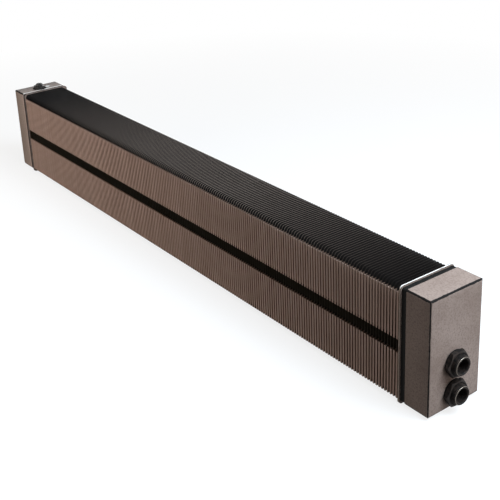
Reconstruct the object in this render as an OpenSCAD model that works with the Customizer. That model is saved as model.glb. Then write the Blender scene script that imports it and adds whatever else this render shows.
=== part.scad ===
// Caseless wall convector: a bank of folded fins on four tubes, with a header under a cap at each end.
// X runs along the length and +X is the end with the pipe connections. The front faces -Y.
// Z is up from the surface that the two end rims stand on. Every size is in millimetres.

/* [Fins] */
// Number of fins on the tubes
fin_count = 204; // [40:4:320]
// Distance from one fin to the next
fin_pitch = 5; // [4.5:0.1:8]
// Height of a fin
fin_height = 156; // [136:1:240]
// Depth of the fin bank, from front tabs to back tabs
fin_depth = 84; // [70:1:140]
// Thickness of the fin sheet
fin_sheet = 0.4; // [0.3:0.05:0.8]
// Width of a folded tab along the bank
tab_width = 3.3; // [2.6:0.1:4]
// Outer radius of the fold between fin and tab
fold_radius = 1.2; // [0.9:0.1:2]
// Bare height above the upper tabs
tab_top_margin = 8; // [3:0.5:12]
// Bare height below the lower tabs
tab_bottom_margin = 3; // [1:0.5:8]
// Height of the open band between the upper and lower tabs
band_height = 18; // [6:1:40]
// Corner radius at the top of a fin
fin_top_corner = 6; // [2:0.5:12]
// Corner radius at the bottom of a fin
fin_bottom_corner = 2.5; // [1:0.5:8]
// How far the collar round each tube stands out from a fin
collar_height = 3; // [1:0.1:4]

/* [Tubes and headers] */
// Outer radius of a tube
tube_radius = 11; // [8:0.5:12]
// Wall thickness of a tube
tube_wall = 1; // [0.8:0.1:2]
// Clearance between the outer tubes and a header's end pieces
tube_margin = 1.5; // [1:0.1:4]
// Length of a header along the bank
header_length = 28; // [24:1:30]
// How far the left header lies in from where its cap's rounded lower edge would let it be
left_header_inset = 5; // [0:0.5:7]
// Depth of a header
header_depth = 40; // [34:1:48]
// Clearance between a header's end pieces and the inside of its cap
header_clearance = 2; // [1.5:0.1:6]
// Wall thickness of a header
header_wall = 2; // [1.5:0.1:2.5]
// Corner radius of a header's walls
header_corner = 4; // [3:0.5:8]

/* [Ends] */
// Thickness of an end plate and its rim
plate_sheet = 3; // [1.5:0.1:4]
// How far the ends stand out behind the fins
back_reach = 4; // [2:0.5:20]
// How far the rim stands out below the fins
rim_below = 3.5; // [3:0.1:6]
// How far the rim stands out above the fins
rim_above = 0.8; // [0.5:0.1:3]
// How far the rim stands out from the cap at the front and back
rim_side = 1; // [1:0.1:3]
// Corner radius of the rim
rim_corner = 5; // [3:0.5:10]
// Width of the sealing strip between rim and cap
seal_width = 8; // [3:0.5:10]
// How deep the sealing strip lies below the cap's surface
seal_recess = 0.6; // [0.4:0.1:1]
// Length of a cap
cap_length = 38; // [34:1:60]
// Wall thickness of a cap
cap_wall = 1.5; // [1.2:0.1:2]
// Radius of a cap's rounded edges
cap_edge = 3; // [2.5:0.5:8]
// Radius of the left cap's lower outer edge
left_foot_edge = 11; // [3:0.5:14]
// Clearance between a cap and the flange inside it
cap_clearance = 0.3; // [0.2:0.05:0.6]
// Thickness of the end plate's flange inside a cap
flange_sheet = 1.5; // [1:0.1:2]
// How far the end plate's flange reaches into a cap
flange_overlap = 10; // [9:0.5:12]

/* [Pipe connections] */
// Outer radius of a threaded stub
stub_radius = 13.22; // [10.4:0.02:14]
// Radius of a stub's inner thread
stub_bore = 9.32; // [7:0.02:9.6]
// How far a stub stands out from its cap
stub_out = 15; // [13:1:40]
// Bevel at a stub's end
stub_bevel = 0.8; // [0.4:0.1:1.2]
// How far the stubs' axes lie above the two lowest rows of tubes
stub_lift = 4; // [-4:0.5:6]
// Width of a locknut across its flats
nut_flats = 32; // [30:1:35]
// Thickness of a locknut
nut_thickness = 7; // [4:0.5:8]
// Bevel on the corners of a locknut
nut_bevel = 1; // [0.5:0.1:1.5]
// Thickness of the sealing washer under a locknut
washer_thickness = 1.5; // [1:0.1:3]

/* [Air vent] */
// Outer radius of the vent's socket on the header
socket_radius = 9; // [8:0.5:10]
// How far the socket stands out above the cap
socket_out = 1.2; // [1.2:0.1:3]
// Width of the rubber grommet's wall
grommet_wall = 1.5; // [1:0.1:2.5]
// Width of the grommet's lip on the cap
grommet_lip = 2.4; // [1:0.1:3]
// Thickness of the grommet's lip
lip_thickness = 1; // [0.6:0.1:1.1]
// Thickness of the gasket under the vent
gasket_thickness = 0.6; // [0.5:0.1:1.5]
// Radius of the vent's threaded shank
shank_radius = 6.5; // [5:0.1:6.8]
// Width of the vent's hexagon across its flats
vent_flats = 17; // [15:0.5:17]
// Thickness of that hexagon
vent_hexagon = 3; // [3:0.5:6]
// Radius of the spigot that the nozzle ring turns on
spigot_radius = 4.2; // [3.6:0.1:4.6]
// Outer radius of the swivelling nozzle ring
nozzle_radius = 7; // [6:0.1:8]
// Height of the nozzle ring
nozzle_height = 3.8; // [3.6:0.1:8]
// Outer radius of the spout on the nozzle ring
spout_radius = 1.6; // [1.3:0.1:1.8]
// Length of the spout beyond the ring
spout_length = 4; // [2:0.5:8]
// Radius of the spout's hole
spout_bore = 0.8; // [0.5:0.1:1]
// Radius of the bleed screw's stem
stem_radius = 2; // [1.6:0.1:2.4]
// Radius of the bleed screw's head
head_radius = 5.4; // [4.8:0.1:6]
// Thickness of the bleed screw's head
head_thickness = 1.8; // [1.4:0.1:4]
// Width of the screwdriver slot
slot_width = 1.2; // [0.6:0.1:1.6]
// Depth of the screwdriver slot
slot_depth = 0.9; // [0.5:0.1:1.2]

/* [Fixings] */
// Radius of the threaded hole in a wall fixing
wall_hole = 2.5; // [2:0.1:3.5]
// Outer radius of a wall fixing's sleeve
sleeve_radius = 4.5; // [4.2:0.1:6]
// Outer radius of a wall fixing's collar
fixing_collar = 6.5; // [6.2:0.1:8]
// Length of a wall fixing's sleeve
sleeve_length = 12; // [8:0.5:16]
// Height between the two wall fixings of an end
wall_hole_spacing = 100; // [60:1:120]
// Radius of a cap screw's head
screw_head = 3.6; // [3:0.1:4]
// Thickness of a cap screw's head
screw_head_height = 2.2; // [1.5:0.1:2.8]
// Radius of a cap screw's shank
screw_radius = 1.9; // [1.5:0.1:2.2]
// Length of a cap screw's shank
screw_length = 8; // [6:0.5:10]
// Distance between the two screws of a cap
screw_spacing = 56; // [30:1:60]

/* [Hidden] */
$fn = 48;

// Colours of the outer paint, the paint on the fins, and the other materials
paint = [0.45, 0.40, 0.38];
fin_paint = [0.36, 0.31, 0.28];
copper = [0.72, 0.43, 0.30];
bare_steel = [0.42, 0.41, 0.40];
black_rubber = [0.06, 0.06, 0.06];
dark_fitting = [0.12, 0.11, 0.11];
brass = [0.70, 0.58, 0.32];
zinc = [0.70, 0.70, 0.68];

// How far a cut runs past what it cuts
overrun = 1;
// Gap round a shaft or tube in its hole
seat_gap = 0.05;
// Gap between pieces that turn against each other
running_gap = 0.1;
// Gap round a piece that passes through sheet metal
pass_gap = 0.4;

// The bank of fins, centred on a mid plane that lies in front of the origin
fin_banks = 4;
bank_count = fin_count / fin_banks;
bank_length = fin_count * fin_pitch;
bank_y = -back_reach / 2;
fin_base = rim_below;
bank_middle = fin_base + fin_height / 2;
fin_top = fin_base + fin_height;
tab_height = (fin_height - tab_top_margin - tab_bottom_margin - band_height) / 2;
upper_tab_start = tab_bottom_margin + tab_height + band_height;

// Places along the bank, with the origin at the middle of the overall length
end_length = plate_sheet + seal_width + cap_length;
overall_length = bank_length + 2 * end_length + stub_out;
bank_start = end_length - overall_length / 2;

// Heights of the headers and of the rows of tubes between their end pieces
header_height = fin_height - 2 * (cap_wall + header_clearance);
header_base = bank_middle - header_height / 2;
header_top = header_base + header_height;
row_count = 4;
lowest_row = header_base + header_wall + tube_margin + tube_radius;
row_pitch = 2 * (bank_middle - lowest_row) / (row_count - 1);
rows = [for (row = [0 : row_count - 1]) lowest_row + row * row_pitch];

// An end, measured outward from the end of the bank
cap_start = plate_sheet + seal_width;
flange_end = cap_start + flange_overlap;
flange_inset = cap_wall + cap_clearance;
flange_edge = cap_edge - cap_wall;
ends_depth = fin_depth + back_reach;
back_face = fin_depth / 2 + back_reach;

// A header, lying against the inside of the cap's end wall
header_end = end_length - cap_wall - cap_clearance;
header_start = header_end - header_length;
header_middle = header_end - header_length / 2;
tube_reach = header_start + header_wall + tube_wall;

// The left header lies further in, clear of the inside of its cap's rounded lower edge
foot_inside = left_foot_edge - cap_wall;
foot_rise = min(foot_inside, header_clearance);
foot_shift = foot_inside - sqrt(pow(foot_inside, 2) - pow(foot_inside - foot_rise, 2));
left_shift = foot_shift + left_header_inset;

// Pipe connections
stub_start = header_end - header_wall;
stub_end = end_length + stub_out;
lower_stub_z = rows[0] + stub_lift;
upper_stub_z = rows[1] + stub_lift;
divider_z = (lower_stub_z + upper_stub_z) / 2;
nut_start = end_length + washer_thickness;
nut_corner = nut_flats / 2 / cos(30);
inner_bevel = stub_bevel;

// Air vent, built up along one upright axis
socket_top = fin_top + socket_out;
shank_length = socket_top - header_top - pass_gap;
hexagon_base = socket_top + gasket_thickness;
hexagon_top = hexagon_base + vent_hexagon;
nozzle_base = hexagon_top + running_gap;
nozzle_top = nozzle_base + nozzle_height;
head_base = nozzle_top + running_gap;
vent_corner = vent_flats / 2 / cos(30);
vent_bevel = nut_bevel / 2;
stem_length = nozzle_height + vent_hexagon + 2 * running_gap;
head_bevel = slot_width / 3;

// Fixings
fixing_x = (flange_end + header_end) / 2;
screw_x = cap_start + flange_overlap / 2;
screw_recess_share = 0.55;
collar_thickness = rim_side;

// A rectangle with round corners, centred, with one radius for its top corners and one for its bottom ones
module round_rectangle(width, height, top_corner, bottom_corner) {
    half_w = width / 2;
    half_h = height / 2;
    translate([-half_w, bottom_corner - half_h])
        square([width, height - top_corner - bottom_corner]);
    translate([top_corner - half_w, 0])
        square([width - 2 * top_corner, half_h]);
    translate([bottom_corner - half_w, -half_h])
        square([width - 2 * bottom_corner, half_h]);
    for (side = [-1, 1]) {
        translate([side * (half_w - top_corner), half_h - top_corner]) circle(r = top_corner);
        translate([side * (half_w - bottom_corner), bottom_corner - half_h]) circle(r = bottom_corner);
    }
}

// Stands a drawing up in the Y-Z plane and gives it a thickness along X
module along_x(thickness) {
    rotate([90, 0, 90]) linear_extrude(height = thickness) children();
}

// A rod along X from the origin
module rod(radius, length) {
    rotate([0, 90, 0]) cylinder(r = radius, h = length);
}

// Places for what is drawn outward from the end of the bank
module at_right() {
    translate([bank_start + bank_length, bank_y, 0]) children();
}

module at_left() {
    translate([bank_start, bank_y, 0]) mirror([1, 0, 0]) children();
}

module at_left_header() {
    at_left() translate([-left_shift, 0, 0]) children();
}

// Tubes

module tube(row) {
    tube_length = bank_length + 2 * tube_reach - left_shift;
    color(copper)
        translate([bank_start + left_shift - tube_reach, bank_y, rows[row]])
            difference() {
                rod(tube_radius, tube_length);
                translate([-overrun, 0, 0]) rod(tube_radius - tube_wall, tube_length + 2 * overrun);
            }
}

module tube_bottom() { tube(0); }
module tube_lower_middle() { tube(1); }
module tube_upper_middle() { tube(2); }
module tube_top() { tube(3); }

// Fins

// Plan of a front tab: its fold, a quarter ring, and the flat beyond it
module tab_plan() {
    fold_y = fold_radius - fin_depth / 2;
    translate([fold_radius, fold_y])
        intersection() {
            difference() {
                circle(r = fold_radius);
                circle(r = fold_radius - fin_sheet);
            }
            translate([-fold_radius, -fold_radius]) square(fold_radius);
        }
    translate([fold_radius, -fin_depth / 2]) square([tab_width - fold_radius, fin_sheet]);
}

module front_tabs() {
    for (start = [tab_bottom_margin, upper_tab_start])
        translate([0, 0, fin_base + start]) linear_extrude(height = tab_height) tab_plan();
}

module fin() {
    difference() {
        union() {
            along_x(fin_sheet)
                translate([0, bank_middle])
                    round_rectangle(fin_depth - 2 * fold_radius, fin_height, fin_top_corner, fin_bottom_corner);
            front_tabs();
            mirror([0, 1, 0]) front_tabs();
            for (z = rows)
                translate([0, 0, z]) rod(tube_radius + seat_gap + fin_sheet, collar_height);
        }
        for (z = rows)
            translate([-overrun, 0, z]) rod(tube_radius + seat_gap, collar_height + 2 * overrun);
    }
}

module fin_bank(bank) {
    color(fin_paint)
        for (i = [0 : bank_count - 1])
            translate([bank_start + (bank * bank_count + i) * fin_pitch, bank_y, 0]) fin();
}

module fin_bank_1() { fin_bank(0); }
module fin_bank_2() { fin_bank(1); }
module fin_bank_3() { fin_bank(2); }
module fin_bank_4() { fin_bank(3); }

// End plates, sealing strips and caps

// Outline of an end in the Y-Z plane, shrunk by an inset all round
module end_outline(inset, corner) {
    translate([back_reach / 2, bank_middle])
        round_rectangle(ends_depth - 2 * inset, fin_height - 2 * inset, corner, corner);
}

module rim_outline() {
    translate([back_reach / 2, bank_middle + (rim_above - rim_below) / 2])
        round_rectangle(
            ends_depth + 2 * rim_side, fin_height + rim_above + rim_below, rim_corner, rim_corner
        );
}

// A sheet-metal screw standing on its head, and the places of the two that hold a cap from below
module at_cap_screws() {
    for (side = [-1, 1])
        translate([screw_x, back_reach / 2 + side * screw_spacing / 2, fin_base]) children();
}

module screw_holes(radius) {
    at_cap_screws() cylinder(r = radius, h = flange_inset + flange_sheet + overrun);
}

module end_plate() {
    difference() {
        union() {
            along_x(plate_sheet) rim_outline();
            along_x(flange_end) end_outline(flange_inset, flange_edge);
        }
        translate([plate_sheet, 0, 0])
            along_x(flange_end)
                end_outline(flange_inset + flange_sheet, flange_edge / 2);
        for (z = rows)
            translate([-overrun, 0, z]) rod(tube_radius + seat_gap, plate_sheet + 2 * overrun);
        screw_holes(screw_radius + seat_gap);
    }
}

// The left plate's flange is notched round the vent's socket
module left_end_plate() {
    color(paint)
        difference() {
            at_left() end_plate();
            at_vent(fin_top - flange_inset - flange_sheet - overrun)
                cylinder(
                    r = socket_radius + grommet_wall + pass_gap,
                    h = flange_inset + flange_sheet + 2 * overrun
                );
        }
}

module right_end_plate() {
    color(paint) at_right() end_plate();
}

module seal_strip() {
    color(black_rubber)
        translate([plate_sheet, 0, 0])
            along_x(seal_width)
                difference() {
                    end_outline(seal_recess, cap_edge);
                    end_outline(flange_inset - seat_gap, flange_edge);
                }
}

module left_seal_strip() { at_left() seal_strip(); }
module right_seal_strip() { at_right() seal_strip(); }

// Solid block with the outer form of a cap, or of its hollow. Its open end is cut square.
module cap_block(inset, length, edge, foot_edge) {
    intersection() {
        along_x(length) end_outline(inset, edge);
        translate([0, back_face, 0])
            rotate([90, 0, 0])
                linear_extrude(height = ends_depth)
                    translate([0, bank_middle])
                        round_rectangle(2 * length, fin_height - 2 * inset, edge, foot_edge);
        linear_extrude(height = fin_top)
            translate([0, back_reach / 2])
                round_rectangle(2 * length, ends_depth - 2 * inset, edge, edge);
    }
}

// Wall fixings: threaded inserts in the cap's back
module at_wall_fixings() {
    for (side = [-1, 1])
        translate([fixing_x, back_face, bank_middle + side * wall_hole_spacing / 2])
            rotate([90, 0, 0]) children();
}

module cap_shell(foot_edge) {
    difference() {
        translate([cap_start, 0, 0]) cap_block(0, cap_length, cap_edge, foot_edge);
        translate([cap_start - overrun, 0, 0])
            cap_block(cap_wall, cap_length + overrun - cap_wall, cap_edge - cap_wall, foot_edge - cap_wall);
        translate([0, 0, -overrun]) screw_holes(screw_radius + pass_gap);
        at_wall_fixings()
            translate([0, 0, -overrun]) cylinder(r = sleeve_radius + seat_gap, h = cap_wall + 2 * overrun);
    }
}

module left_cap() {
    color(paint)
        difference() {
            at_left() cap_shell(left_foot_edge);
            at_vent(fin_top - cap_wall - overrun)
                cylinder(r = socket_radius + grommet_wall + 2 * seat_gap, h = cap_wall + 2 * overrun);
        }
}

module right_cap() {
    color(paint)
        at_right()
            difference() {
                cap_shell(cap_edge);
                for (z = [lower_stub_z, upper_stub_z])
                    translate([header_end, 0, z]) rod(stub_radius + pass_gap, cap_wall + 2 * overrun);
            }
}

module cap_screws() {
    color(zinc)
        at_cap_screws()
            difference() {
                union() {
                    translate([0, 0, -screw_head_height]) cylinder(r = screw_head, h = screw_head_height);
                    cylinder(r = screw_radius, h = screw_length);
                }
                translate([0, 0, -screw_head_height - overrun])
                    cylinder(
                        r = screw_head * screw_recess_share,
                        h = screw_head_height * screw_recess_share + overrun,
                        $fn = 6
                    );
            }
}

module left_cap_screws() { at_left() cap_screws(); }
module right_cap_screws() { at_right() cap_screws(); }

module wall_fixings() {
    color(zinc)
        at_wall_fixings()
            difference() {
                union() {
                    translate([0, 0, -collar_thickness]) cylinder(r = fixing_collar, h = collar_thickness);
                    cylinder(r = sleeve_radius, h = sleeve_length);
                }
                translate([0, 0, -overrun - collar_thickness])
                    cylinder(r = wall_hole, h = sleeve_length + collar_thickness + 2 * overrun);
            }
}

module left_wall_fixings() { at_left() wall_fixings(); }
module right_wall_fixings() { at_right() wall_fixings(); }

// Headers

module header_outline(inset) {
    translate([header_middle, 0])
        round_rectangle(
            header_length - 2 * inset, header_depth - 2 * inset, header_corner - inset, header_corner - inset
        );
}

module header() {
    difference() {
        translate([0, 0, header_base + header_wall])
            linear_extrude(height = header_height - 2 * header_wall)
                difference() {
                    header_outline(0);
                    header_outline(header_wall);
                }
        for (z = rows)
            translate([header_start - overrun, 0, z])
                rod(tube_radius + seat_gap, header_wall + 2 * overrun);
    }
}

module left_header() {
    color(bare_steel) at_left_header() header();
}

module right_header() {
    color(bare_steel)
        at_right()
            difference() {
                header();
                for (z = [lower_stub_z, upper_stub_z])
                    translate([stub_start - overrun, 0, z])
                        rod(stub_radius + seat_gap, header_wall + 2 * overrun);
            }
}

module header_ends() {
    for (z = [header_base, header_top - header_wall])
        translate([0, 0, z]) linear_extrude(height = header_wall) header_outline(0);
}

module left_header_ends() {
    color(bare_steel)
        difference() {
            at_left_header() header_ends();
            at_vent(header_top - header_wall - overrun)
                cylinder(r = stem_radius, h = header_wall + 2 * overrun);
        }
}

module right_header_ends() {
    color(bare_steel) at_right() header_ends();
}

module header_divider() {
    color(bare_steel)
        at_right()
            translate([0, 0, divider_z - header_wall / 2])
                linear_extrude(height = header_wall) header_outline(header_wall + seat_gap);
}

// Pipe connections

module stub(z) {
    length = stub_end - stub_start;
    color(dark_fitting)
        at_right()
            translate([stub_start, 0, z])
                rotate([0, 90, 0])
                    rotate_extrude()
                        polygon([
                            [stub_bore, 0],
                            [stub_radius, 0],
                            [stub_radius, length - stub_bevel],
                            [stub_radius - stub_bevel, length],
                            [stub_bore + inner_bevel, length],
                            [stub_bore, length - inner_bevel]
                        ]);
}

module lower_stub() { stub(lower_stub_z); }
module upper_stub() { stub(upper_stub_z); }

module washer(z) {
    color(black_rubber)
        at_right()
            translate([end_length, 0, z])
                along_x(washer_thickness)
                    difference() {
                        circle(r = nut_flats / 2);
                        circle(r = stub_radius + seat_gap);
                    }
}

module lower_washer() { washer(lower_stub_z); }
module upper_washer() { washer(upper_stub_z); }

// Round bar along Z with its upper end bevelled, which takes the corners off a hexagon
module bevelled_bar(radius, height, bevel) {
    rotate_extrude()
        polygon([[0, 0], [radius, 0], [radius, height - bevel], [radius - bevel, height], [0, height]]);
}

// Two of the hexagon's flats lie level
module locknut(z) {
    color(dark_fitting)
        at_right()
            translate([nut_start, 0, z])
                difference() {
                    intersection() {
                        along_x(nut_thickness) circle(r = nut_corner, $fn = 6);
                        rotate([0, 90, 0]) bevelled_bar(nut_corner, nut_thickness, nut_bevel);
                    }
                    translate([-overrun, 0, 0])
                        rod(stub_radius + seat_gap, nut_thickness + 2 * overrun);
                }
}

module lower_locknut() { locknut(lower_stub_z); }
module upper_locknut() { locknut(upper_stub_z); }

// Air vent

module at_vent(z) {
    at_left_header() translate([header_middle, 0, z]) children();
}

module vent_socket() {
    color(bare_steel)
        at_vent(header_top)
            difference() {
                cylinder(r = socket_radius, h = socket_top - header_top);
                translate([0, 0, -overrun])
                    cylinder(r = shank_radius + seat_gap, h = socket_top - header_top + 2 * overrun);
            }
}

module vent_grommet() {
    inner = socket_radius + seat_gap;
    color(black_rubber)
        at_vent(fin_top)
            rotate_extrude()
                polygon([
                    [inner, -cap_wall],
                    [inner + grommet_wall, -cap_wall],
                    [inner + grommet_wall, 0],
                    [inner + grommet_wall + grommet_lip, 0],
                    [inner + grommet_wall + grommet_lip, lip_thickness / 2],
                    [inner + grommet_wall + grommet_lip / 2, lip_thickness],
                    [inner, lip_thickness]
                ]);
}

module vent_gasket() {
    color(black_rubber)
        at_vent(socket_top)
            linear_extrude(height = gasket_thickness)
                difference() {
                    circle(r = socket_radius);
                    circle(r = shank_radius + seat_gap);
                }
}

module vent_body() {
    color(brass)
        difference() {
            union() {
                at_vent(hexagon_base - gasket_thickness - shank_length)
                    cylinder(r = shank_radius, h = shank_length + gasket_thickness);
                at_vent(hexagon_base)
                    intersection() {
                        cylinder(r = vent_corner, h = vent_hexagon, $fn = 6);
                        bevelled_bar(vent_corner, vent_hexagon, vent_bevel);
                    }
                at_vent(hexagon_top) cylinder(r = spigot_radius, h = nozzle_height);
            }
            at_vent(hexagon_base - shank_length - overrun)
                cylinder(
                    r = stem_radius + seat_gap,
                    h = shank_length + vent_hexagon + nozzle_height + 2 * overrun
                );
        }
}

module vent_nozzle() {
    color(brass)
        at_vent(nozzle_base)
            difference() {
                union() {
                    cylinder(r = nozzle_radius, h = nozzle_height);
                    translate([0, 0, nozzle_height / 2])
                        rotate([90, 0, 0]) cylinder(r = spout_radius, h = nozzle_radius + spout_length);
                }
                translate([0, 0, -overrun])
                    cylinder(r = spigot_radius + seat_gap, h = nozzle_height + 2 * overrun);
                translate([0, 0, nozzle_height / 2])
                    rotate([90, 0, 0])
                        cylinder(r = spout_bore, h = nozzle_radius + spout_length + overrun);
            }
}

module bleed_screw() {
    color(brass)
        at_vent(head_base)
            difference() {
                union() {
                    translate([0, 0, -stem_length]) cylinder(r = stem_radius, h = stem_length);
                    bevelled_bar(head_radius, head_thickness, head_bevel);
                }
                translate([-head_radius - overrun, -slot_width / 2, head_thickness - slot_depth])
                    cube([2 * (head_radius + overrun), slot_width, slot_depth + overrun]);
            }
}

tube_bottom();
tube_lower_middle();
tube_upper_middle();
tube_top();
fin_bank_1();
fin_bank_2();
fin_bank_3();
fin_bank_4();
left_end_plate();
right_end_plate();
left_seal_strip();
right_seal_strip();
left_header();
right_header();
left_header_ends();
right_header_ends();
header_divider();
left_cap();
right_cap();
left_cap_screws();
right_cap_screws();
left_wall_fixings();
right_wall_fixings();
lower_stub();
upper_stub();
lower_washer();
upper_washer();
lower_locknut();
upper_locknut();
vent_socket();
vent_grommet();
vent_gasket();
vent_body();
vent_nozzle();
bleed_screw();
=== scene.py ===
"""The looks of a caseless wall convector: its paints, metals and rubber, and the small pieces in full detail.

Lengths are in metres in the frame: X runs along the convector, the front faces -Y and Z is up.
"""

import math

import bmesh
import bpy
from mathutils import Matrix, Vector


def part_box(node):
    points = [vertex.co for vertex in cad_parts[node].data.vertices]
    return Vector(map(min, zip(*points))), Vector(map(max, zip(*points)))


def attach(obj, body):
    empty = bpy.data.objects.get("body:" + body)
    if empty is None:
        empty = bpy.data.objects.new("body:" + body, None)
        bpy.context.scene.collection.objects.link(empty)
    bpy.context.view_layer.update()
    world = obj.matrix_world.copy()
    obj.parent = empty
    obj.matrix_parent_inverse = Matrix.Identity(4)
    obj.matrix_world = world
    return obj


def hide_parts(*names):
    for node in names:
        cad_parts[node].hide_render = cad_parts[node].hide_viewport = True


MM = 0.001
FIXED_BODY = "convector"
NOZZLE_BODY = "nozzle_ring"
SCREW_BODY = "bleed_screw_body"
X_AXIS = (1, 0, 0)
Y_AXIS = (0, 1, 0)
Z_AXIS = (0, 0, 1)
FRONT = (0, -1, 0)

# Camera of the photograph
CAMERA_PLACE = (1.21087, -0.76079, 0.70809)
CAMERA_YAW = math.radians(54.1077)
CAMERA_PITCH = math.radians(20.5546)
CAMERA_ROLL = math.radians(-2.4951)
CAMERA_LENS = 70.161
CAMERA_SENSOR = 36.0
CAMERA_SHIFT = -0.2

# Fins: their sheets and tabs, and the groove between upper and lower tabs with how far the tabs reach from it
FIN_COUNT = 204
TAB_WIDTH = 3.3 * MM
FIN_SHEET = 0.4 * MM
FIN_CORNER = 6 * MM
FOLD_RADIUS = 1.2 * MM
TAB_MARGIN = 8 * MM
GROOVE_MIDDLE = 79 * MM
GROOVE_HALF = 8.5 * MM
TABS_REACH = 73 * MM

# Painted shade on the sheets behind the tabs: their paint colour down to one depth, fully shaded from the
# next, and soft at its other borders
SHADE_START_DEPTH = 3 * MM
SHADE_FULL_DEPTH = 12 * MM
SHADE_FADE = 1 * MM

# How much of a tab's shade is its own
OWN_SHARE = 0.4

# Painted highlight on the fins' upper edges, laid out as a painted pool of light along X: where along X it is
# lightest, how far from there it thins out and ends, how wide it lies and how soft its border is
TIP_LIGHT_MIDDLE = 0.02
TIP_LIGHT_START = 0.12
TIP_LIGHT_END = 0.48
TIP_LIGHT_WIDTH = 0.8 * MM
TIP_LIGHT_FADE = 0.5 * MM

# Gaps between pieces, and the sheet of the caps
SEAT_GAP = 0.05 * MM
RUNNING_GAP = 0.1 * MM
CAP_WALL = 1.5 * MM

# Threads: distance between crests, and depth
PIPE_PITCH = 1.814 * MM
PIPE_DEPTH = 1.16 * MM
VENT_PITCH = 1.337 * MM
VENT_DEPTH = 0.86 * MM
FIXING_PITCH = 1.0 * MM
FIXING_DEPTH = 0.5 * MM
SCREW_PITCH = 1.4 * MM
SCREW_DEPTH = 0.5 * MM

# Pipe connections
STUB_BORE = 9.32 * MM
STUB_BEVEL = 0.8 * MM
STUB_THREADED = 13 * MM
NUT_FACE_SHARE = 0.96
NUT_SLOPE = math.tan(math.radians(30))
NUT_BEVEL = 0.8 * MM

# Sealing strips
STRIP_THICKNESS = 1.15 * MM
STRIP_CORNER = 3 * MM
STRIP_BEADS = 2
STRIP_GROOVE = 0.4 * MM
STRIP_STEPS = 16
CORNER_STEPS = 8

# Cap screws and wall fixings
HEAD_HEIGHT = 2.2 * MM
HEAD_EDGE = 1.2 * MM
SHANK_SHARE = 0.4
RECESS_FLATS = 3.4 * MM
RECESS_DEPTH = 1.2 * MM
RECESS_POINT = RECESS_FLATS / 8
FIXING_BORE = 2.5 * MM
SLEEVE_RADIUS = 4.5 * MM
COLLAR_THICKNESS = 1 * MM
COLLAR_BEVEL = COLLAR_THICKNESS / 3
SLEEVE_RIDGES = 24
RIDGE_DEPTH = 0.25 * MM

# Air vent
SHANK_RADIUS = 6.5 * MM
SPIGOT_RADIUS = 4.2 * MM
STEM_RADIUS = 2 * MM
RING_EDGE_SHARE = 1 / 6
SPOUT_RADIUS = 1.6 * MM
SPOUT_BORE = 0.8 * MM
SPOUT_WAIST = 0.82 * SPOUT_RADIUS
SPOUT_TAPER = 0.4 * SPOUT_RADIUS
SPOUT_MOUTH = 0.5 * MM
SPOUT_MOUTH_STEP = 0.4 * MM
SLOT_WIDTH = 1.2 * MM
SLOT_DEPTH = 0.9 * MM
HEAD_RIDGES = 60
HEAD_RIDGE_DEPTH = 0.12 * MM

# Painted highlight along the rim of an end plate: its middle, its half width and how soft its border is
STRIPE_MIDDLE = 1.4 * MM
STRIPE_HALF_LEAST = 0.6 * MM
STRIPE_HALF_MOST = 1.0 * MM
STRIPE_FADE = 0.3 * MM

# Painted shade on the left cap, darker still on its top: where it starts and ends from the cap's inner edge,
# and its share
LEFT_SHADE_START = 38 * MM
LEFT_SHADE_END = 4 * MM
LEFT_SHADE_SHARE = 0.85

# Painted highlight along the left cap's inner edge: how wide, how soft its border and how far that wanders
HIGHLIGHT_WIDTH = 3.2 * MM
LIGHT_MARK_FADE = 0.8 * MM
LIGHT_MARK_RAGGED = 0.7 * MM

# Light spot on the left cap's top, in the highlight's tones: how far it lies from the vent's axis, and its
# radius
LIGHT_SPOT_OFFSET = (-2 * MM, 18 * MM)
LIGHT_SPOT_RADIUS = 4.5 * MM

# Where a thread's root and crest start and end, as shares of its pitch, the height at each, and how many
# turns are laid flat at each of its ends
THREAD_PHASES = (0.1, 0.4, 0.6, 0.9)
THREAD_HEIGHTS = (0.0, 1.0, 1.0, 0.0)
SPARE_TURNS = 2

# Columns round a turned piece. Those of a hexagon are a multiple of its six sides, and a ridge has four
COLUMNS = 72
HEXAGON_COLUMNS = 96
SCREW_COLUMNS = 48
SPOUT_COLUMNS = 32
DRILL_COLUMNS = 24
RIDGE_COLUMNS = 4

MERGE_DISTANCE = 0.001 * MM
SHARP_ANGLE = math.radians(32)

# Shaders: the span in which nearly all of a noise lies, the slopes between which a face starts to look up,
# paint's gloss, how soft the painted shade on its rounded edges is and how rough those edges are, and how
# fine and how uneven the gloss of metal is
NOISE_SPAN = (0.3, 0.7)
UPWARD_SPAN = (0.3, 0.9)
PAINT_SPECULAR = 0.12
EDGE_FADE = 0.03
EDGE_ROUGHNESS = 0.3
FINE_TIMES = 9
GLOSS_SPREAD = 0.08

# Studio: light from all round, the floor's shade, where its own glow starts and ends to grow, the lights'
# tints, and where each light stands and which place it faces
AMBIENT = (0.082, 0.067, 0.053, 1.0)
FLOOR_SHADE = 0.9
GLOW_START = 0.6
GLOW_END = 1.5
COOL = (0.8, 0.95, 1.08)
WARM = (1.0, 0.92, 0.84)
NEUTRAL = (1.0, 1.0, 1.0)
OVERHEAD_PLACE = (1.05, 0.35, 1.2)
OVERHEAD_TARGET = (0.65, 0.0, 0.1)
RIGHT_PLACE = (2.2, 0.3, 0.6)
RIGHT_TARGET = (0.5, 0.0, 0.1)
FRONT_LEFT_PLACE = (-0.52, -0.72, 0.28)
FRONT_LEFT_TARGET = (-0.38, 0.0, 0.08)
BACK_PLACE = (0.0, 2.2, 0.5)
BACK_TARGET = (0.0, 0.0, 0.1)
LEFT_PLACE = (-2.2, 0.5, 0.25)
LEFT_TARGET = (-0.5, 0.0, 0.1)


def linear(value):
    """The light of a screen's value, both from 0 to 1, by the standard curve of such colours."""
    if value <= 0.04045:
        return value / 12.92
    return ((value + 0.055) / 1.055) ** 2.4


def colour(red, green, blue):
    """A colour written as it looks on a screen, from 0 to 255, as a shader needs it."""
    return tuple(linear(value / 255) for value in (red, green, blue)) + (1.0,)


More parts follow.
